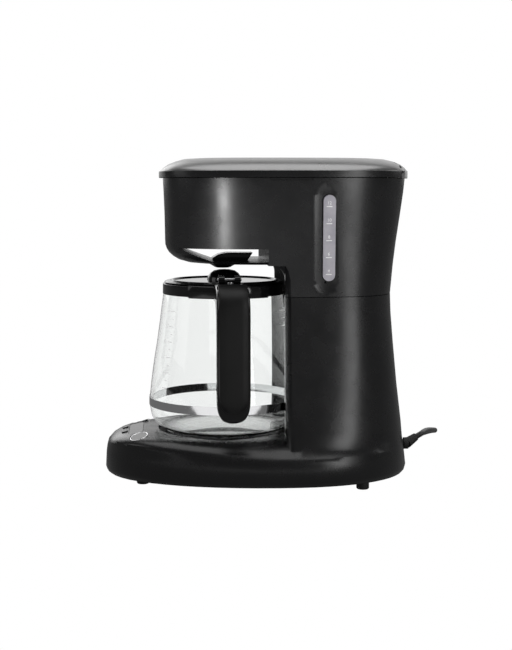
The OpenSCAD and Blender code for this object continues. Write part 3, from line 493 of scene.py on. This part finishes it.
def handle_inlay():
    """Soft panel along the outside of the grip, with a rounded lower end."""
    outer = [tuple(p) for p in smooth_line([(*o, 0) for o, i, w in HANDLE_STATIONS[3:13]], 6)]
    rings = []
    count = len(outer)
    for k, (x, z, _) in enumerate(outer):
        ahead, behind = outer[min(k + 1, count - 1)], outer[max(k - 1, 0)]
        tangent = Vector((ahead[0] - behind[0], 0, ahead[1] - behind[1])).normalized()
        out = Vector((-tangent.z, 0, tangent.x))
        low = max(0.0, (48 - z) / 13.5)
        half = 14 * math.sqrt(max(0.0, 1 - low * low)) + 0.05
        profile = [(-half, -1.5), (-half, 0.45), (-half + 0.5, 0.95), (-half * 0.5, 1.25), (0, 1.35), (half * 0.5, 1.25),
                   (half - 0.5, 0.95), (half, 0.45), (half, -1.5)]
        if half < 1.2:
            profile = [(-half, -1.5), (-half, 0.3), (-half / 2, 0.4), (-half / 4, 0.45), (0, 0.5), (half / 4, 0.45),
                       (half / 2, 0.4), (half, 0.3), (half, -1.5)]
        base = Vector((x, 0, z))
        rings.append([carafe_spot(*(base + out * d + Vector((0, y, 0)))) for y, d in profile])
    return rings_mesh("carafe_handle_inlay", rings, smooth_angle=50)


settle(handle_grip(), "carafe", "trim_black", "carafe_handle")
inlay = settle(handle_inlay(), "carafe", "housing_black", "handle_inlay")
inlay.data.materials[0] = soft_grip.material
settle(lathe("carafe_handle_collar", COLLAR_PART, CARAFE, 60, -37.6 + 2, 75.2), "carafe", "trim_black")

# ---------------------------------------------------------------- printed scales


def glass_radius(z):
    zs = [p[1] for p in OUTER[4:]]
    rs = [p[0] for p in OUTER[4:]]
    return float(np.interp(z, zs, rs))


def on_glass(angle, z, lift=0.12):
    a = math.radians(angle)
    r = glass_radius(z) + lift
    return carafe_spot(r * math.cos(a), r * math.sin(a), z)


def bar_on_glass(angle, z, width, height):
    """Corner points of a printed bar wrapped on the glass: width in degrees, height in millimetres."""
    return [[on_glass(angle - width / 2 + width * i / 6, z + dz) for i in range(7)] for dz in (-height / 2, height / 2)]


def text_outline(word, size):
    """Faces of a word, flat, centred, with the given height in millimetres."""
    curve = bpy.data.curves.new("word", "FONT")
    curve.body, curve.size, curve.align_x, curve.align_y = word, size, "CENTER", "CENTER"
    holder = bpy.data.objects.new("word", curve)
    scene.collection.objects.link(holder)
    mesh = bpy.data.meshes.new_from_object(holder.evaluated_get(bpy.context.evaluated_depsgraph_get()))
    verts = [tuple(v.co) for v in mesh.vertices]
    faces = [tuple(f.vertices) for f in mesh.polygons]
    bpy.data.objects.remove(holder)
    bpy.data.curves.remove(curve)
    bpy.data.meshes.remove(mesh)
    return verts, faces


class Print:
    """Collects printed marks into one thin mesh."""

    def __init__(self):
        self.verts, self.faces = [], []

    def grid(self, rows):
        start, width = len(self.verts), len(rows[0])
        self.verts += [p for row in rows for p in row]
        for k in range(len(rows) - 1):
            for i in range(width - 1):
                a = start + k * width + i
                self.faces.append((a, a + 1, a + width + 1, a + width))

    def word(self, word, size, where):
        verts, faces = text_outline(word, size)
        start = len(self.verts)
        self.verts += [where(x, y) for x, y, _ in verts]
        self.faces += [tuple(start + i for i in f) for f in faces]

    def piece(self, name):
        obj = new_piece(name, self.verts, self.faces)
        thick = obj.modifiers.new("ink_with_painted_glow", "SOLIDIFY")
        thick.thickness, thick.offset = 0.00006, 0
        # the marks take the white print material, which carries a painted glow
        obj.data.materials.append(ink_with_painted_glow.material)
        return obj


carafe_print = Print()
for side, angle in ((-1, -57), (1, 60)):
    for step in range(6):
        z = 50 + 15.5 * step
        carafe_print.grid(bar_on_glass(angle, z, 6.5, 0.9))
        if step < 5:
            carafe_print.grid(bar_on_glass(angle + 1.2, z + 7.75, 3.4, 0.7))
        turn = angle + side * 6.5
        carafe_print.word(str(2 * step + 2), 5.5,
                          lambda x, y, t=turn, z=z: on_glass(t + math.degrees(x / glass_radius(z)), z + y))
settled = carafe_print.piece("carafe_scale_print")
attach(settled, "carafe")

# level marks on the window, whose own +Z points out of the wall and +Y along it
WINDOW = (Matrix.Translation((73.4, 69, 254)) @ Matrix.Rotation(math.radians(92.6), 4, "Y")
          @ Matrix.Rotation(math.radians(90), 4, "Z"))


def on_window(x, y, lift=0.16):
    return spot(*(WINDOW @ Vector((x, y, lift))))


window_print = Print()
UP = 1 if (WINDOW.to_3x3() @ Vector((0, 1, 0))).z > 0 else -1
RIGHT = 1 if (WINDOW.to_3x3() @ Vector((1, 0, 0))).y > 0 else -1
for step in range(5):
    y = UP * (-36 + 16.8 * step)
    window_print.grid([[on_window(RIGHT * x, y + dy) for x in (-3.2, 0, 2.6)] for dy in (-0.4, 0.4)])
    window_print.word(str(4 + 2 * step), 4.4, lambda a, b, y=y: on_window(RIGHT * (a - 0.3), y + UP * (b + 3.4)))
marks = window_print.piece("window_scale_print")
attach(marks, "housing")

# ---------------------------------------------------------------- remaining CAD nodes

BEVELS = {"lid_frame": 0.0006, "hinge_cover": 0.0005, "carafe_lid": 0.0005, "filter_basket": 0.0004, "rubber_feet": 0.0004,
          "plug_body": 0.0016, "carafe_collar": 0.0004, "valve_guard": 0.0006, "drip_cup": 0.0004, "panel_lens": 0.0003,
          "brew_button": 0.0006, "program_button": 0.0006, "button_rings": 0.0004, "carafe_band": 0.00008,
          "basket_handle": 0.0005, "water_tank": 0.0006, "cord_bushing": 0.0004, "cord_tie": 0.0004}
for name, obj in nodes.items():
    smooth_cad(obj)
    paint(obj, slot_of[name])
    if name == "carafe_lid":
        obj.data.materials[0] = lid_gloss.material
    if not obj.hide_render:
        with_modifiers(obj, BEVELS.get(name, 0.00025), 28)

# ---------------------------------------------------------------- floor, backdrop, lights


def flat(name, corners, strength_seen, strength_bounced):
    mesh = bpy.data.meshes.new(name)
    mesh.from_pydata(corners, [], [(0, 1, 2, 3)])
    obj = bpy.data.objects.new(name, mesh)
    scene.collection.objects.link(obj)
    material = bpy.data.materials.new(name)
    material.use_nodes = True
    tree = material.node_tree
    tree.nodes.clear()
    out = tree.nodes.new("ShaderNodeOutputMaterial")
    glow, dim = tree.nodes.new("ShaderNodeEmission"), tree.nodes.new("ShaderNodeEmission")
    glow.inputs["Strength"].default_value, dim.inputs["Strength"].default_value = strength_seen, strength_bounced
    rays, either, mix = tree.nodes.new("ShaderNodeLightPath"), tree.nodes.new("ShaderNodeMath"), tree.nodes.new("ShaderNodeMixShader")
    either.operation = "MAXIMUM"
    tree.links.new(rays.outputs["Is Camera Ray"], either.inputs[0])
    tree.links.new(rays.outputs["Is Transmission Ray"], either.inputs[1])
    tree.links.new(either.outputs[0], mix.inputs["Fac"])
    tree.links.new(dim.outputs[0], mix.inputs[1])
    tree.links.new(glow.outputs[0], mix.inputs[2])
    tree.links.new(mix.outputs[0], out.inputs["Surface"])
    obj.data.materials.append(material)
    return obj


flat("floor", [(-9, -9, 0), (9, -9, 0), (9, 9, 0), (-9, 9, 0)], 1.0, 0.16)
flat("backdrop_foot", [(-3.4, -4, -0.5), (-3.4, 4, -0.5), (-3.4, 4, 0.3), (-3.4, -4, 0.3)], 1.0, 0.1)
flat("backdrop", [(-3.4, -4, 0.3), (-3.4, 4, 0.3), (-3.4, 4, 3.5), (-3.4, -4, 3.5)], 1.0, 0.9)

world = bpy.data.worlds.new("studio")
scene.world = world
world.use_nodes = True
tree = world.node_tree
tree.nodes.clear()
out = tree.nodes.new("ShaderNodeOutputWorld")
bright, dark = tree.nodes.new("ShaderNodeBackground"), tree.nodes.new("ShaderNodeBackground")
for shade, strength in ((bright, 1.0), (dark, 0.1)):
    shade.inputs["Color"].default_value, shade.inputs["Strength"].default_value = (1, 1, 1, 1), strength
rays, mix = tree.nodes.new("ShaderNodeLightPath"), tree.nodes.new("ShaderNodeMixShader")
tree.links.new(rays.outputs["Is Camera Ray"], mix.inputs["Fac"])
tree.links.new(dark.outputs[0], mix.inputs[1])
tree.links.new(bright.outputs[0], mix.inputs[2])
tree.links.new(mix.outputs[0], out.inputs["Surface"])
scene.view_settings.view_transform = "Standard"


def softbox(name, place, aim, wide, tall, radiance):
    data = bpy.data.lights.new(name, "AREA")
    data.shape, data.size, data.size_y = "RECTANGLE", wide, tall
    data.energy = radiance * math.pi * wide * tall
    obj = bpy.data.objects.new(name, data)
    scene.collection.objects.link(obj)
    obj.location = place
    obj.rotation_mode = "QUATERNION"
    obj.rotation_quaternion = (Vector(aim) - Vector(place)).to_track_quat("-Z", "Y")
    obj.visible_camera = obj.visible_transmission = False
    return obj


strip = softbox("strip_left", (1.3, -0.70, 0.08), (0, 0, 0.2), 0.07, 0.14, 130)
lit = bpy.data.collections.new("lit_by_strip")  # the base has no such streak
lit.objects.link(upper_skin)
strip.light_linking.receiver_collection = lit
softbox("strip_right", (1.5, 1.1, 0.5), (0, 0, 0.2), 0.5, 1.2, 4)
for side in (-0.6, 0.2):
    softbox("floor_card", (0.75, side, 0.004), (0.75, side, 1), 0.8, 0.8, 0.85)
softbox("top_light", (0.1, 0, 1.7), (0, 0, 0.2), 2.0, 2.0, 1.6)
softbox("front_light", (0.3, -2.0, 0.9), (0, 0, 0.2), 1.0, 1.2, 1.0)
softbox("back_light", (-0.4, 2.2, 1.0), (0, 0, 0.2), 1.0, 1.2, 1.2)
softbox("far_light", (-2.0, -0.9, 1.0), (0, 0, 0.2), 1.0, 1.2, 1.2)
